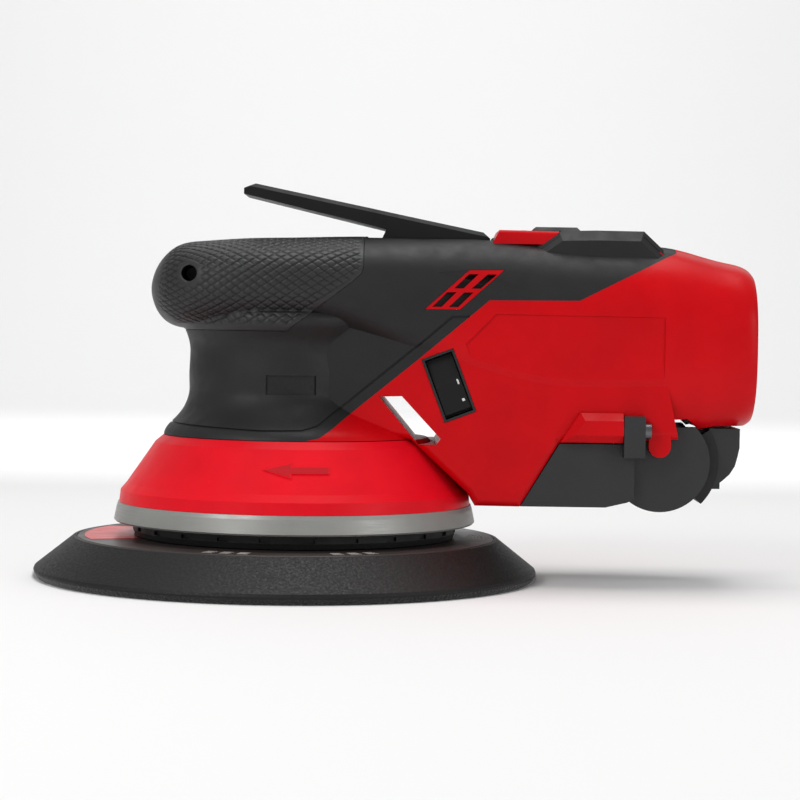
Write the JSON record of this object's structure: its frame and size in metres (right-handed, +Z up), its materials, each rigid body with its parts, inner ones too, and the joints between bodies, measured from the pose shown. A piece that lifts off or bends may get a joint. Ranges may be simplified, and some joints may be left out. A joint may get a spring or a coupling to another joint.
{
  "type": "orbital sander",
  "caption": "Palm-grip random orbital sander with paddle lever, side rocker, offset drive to a round hook-faced pad, dust chute with swivel outlet and an open battery socket.",
  "frame": {"origin": "motor spindle axis at the underside of the pad's hook layer", "axes": "+X along the body to the battery socket, +Z up the spindle away from the work, -Y the side with the rocker switch"},
  "size_m": [0.212, 0.15, 0.1168],
  "materials": {
    "red_housing": "satin moulded nylon",
    "red_shroud": "satin moulded nylon",
    "soft_black": "soft overmould, fine grain",
    "grip_rubber": "soft overmould, diamond texture",
    "vent_red": "satin moulded nylon",
    "ring_metal": "satin",
    "seal_rubber": "matte",
    "cast_alloy": "as cast",
    "screw_steel": "dark plated",
    "bearing_steel": "ground",
    "lamination": "stacked sheet",
    "copper": "enamelled winding",
    "steel": "turned",
    "weight_steel": "turned",
    "spring_steel": "drawn wire",
    "switch_black": "matte",
    "gloss_black": "semi gloss",
    "lens_grey": "smoked lens",
    "liner_black": "matte",
    "contact_brass": "plated",
    "board_green": "lacquered board",
    "chip_black": "matte",
    "chute_grey": "fine spark texture",
    "impeller_nylon": "satin",
    "hook_fabric": "hook fastener",
    "pad_foam": "closed cell foam",
    "pad_plate": "printed plate",
    "zinc": "zinc plated"
  },
  "bodies": {
    "body": {"housing_left": "red_housing", "housing_right": "red_housing", "cover_left": "soft_black", "cover_right": "soft_black", "palm_grip_left": "grip_rubber", "palm_grip_right": "grip_rubber", "vent_left": "vent_red", "vent_right": "vent_red", "vent_screens": "liner_black", "shroud": "red_shroud", "shroud_ring": "ring_metal", "brake_seal": "seal_rubber", "bearing_plate": "cast_alloy", "shroud_screws": "screw_steel", "lower_bearing": "bearing_steel", "upper_bearing": "bearing_steel", "stator": "lamination", "stator_coils": "copper", "lever_pin": "steel", "lever_spring": "spring_steel", "lever_switch": "switch_black", "rocker_frame": "switch_black", "control_panel": "vent_red", "indicator_lenses": "lens_grey", "battery_liner": "liner_black", "terminal_block": "switch_black", "battery_contacts": "contact_brass", "controller_board": "board_green", "board_transistors": "chip_black", "dust_chute": "chute_grey", "chute_screws": "screw_steel", "casing_screws": "screw_steel"},
    "spindle": {"motor_shaft": "steel", "rotor": "weight_steel", "impeller": "impeller_nylon", "counterweight": "weight_steel", "pad_bearing": "bearing_steel"},
    "pad": {"hook_layer": "hook_fabric", "pad_foam": "pad_foam", "pad_plate": "pad_plate", "pad_stud": "zinc", "pad_arbor": "steel", "pad_washer": "zinc"},
    "lever": {"lever": "gloss_black"},
    "plunger": {"plunger": "switch_black"},
    "rocker": {"rocker": "gloss_black"},
    "speed_button": {"speed_button": "soft_black"},
    "nozzle": {"outlet_nozzle": "chute_grey", "nozzle_seal": "seal_rubber"}
  },
  "joints": [
    {"name": "spindle_spin", "type": "hinge", "parent": "body", "child": "spindle", "pos_m": [0, 0, 0], "axis": [0, 0, 1], "continuous": true},
    {"name": "pad_spin", "type": "hinge", "parent": "spindle", "child": "pad", "pos_m": [-0.0025, 0, 0], "axis": [0, 0, 1], "continuous": true},
    {"name": "lever_press", "type": "hinge", "parent": "body", "child": "lever", "pos_m": [0.051, 0, 0.098], "axis": [0, -1, 0], "range_deg": [0, 6], "stiffness_Nm_per_rad": 1, "springref_deg": -3.44},
    {"name": "plunger_press", "type": "slide", "parent": "body", "child": "plunger", "axis": [0, 0, -1], "range_m": [0, 0.0019], "deforming": ["lever_spring"]},
    {"name": "rocker_tilt", "type": "hinge", "parent": "body", "child": "rocker", "pos_m": [0.0452, -0.02, 0.0585], "axis": [0.9342, 0, 0.3567], "range_deg": [0, 12]},
    {"name": "speed_button_press", "type": "slide", "parent": "body", "child": "speed_button", "axis": [0, 0, -1], "range_m": [0, 0.0008], "stiffness_N_per_m": 100, "springref_m": -0.001},
    {"name": "nozzle_swivel", "type": "hinge", "parent": "body", "child": "nozzle", "pos_m": [0.1072, 0, 0.0368], "axis": [0, 1, 0], "range_deg": [0, 30]}
  ],
  "couplings": [
    {"joint": "plunger_press", "follows": "lever_press", "m_per_rad": 0.018}
  ]
}
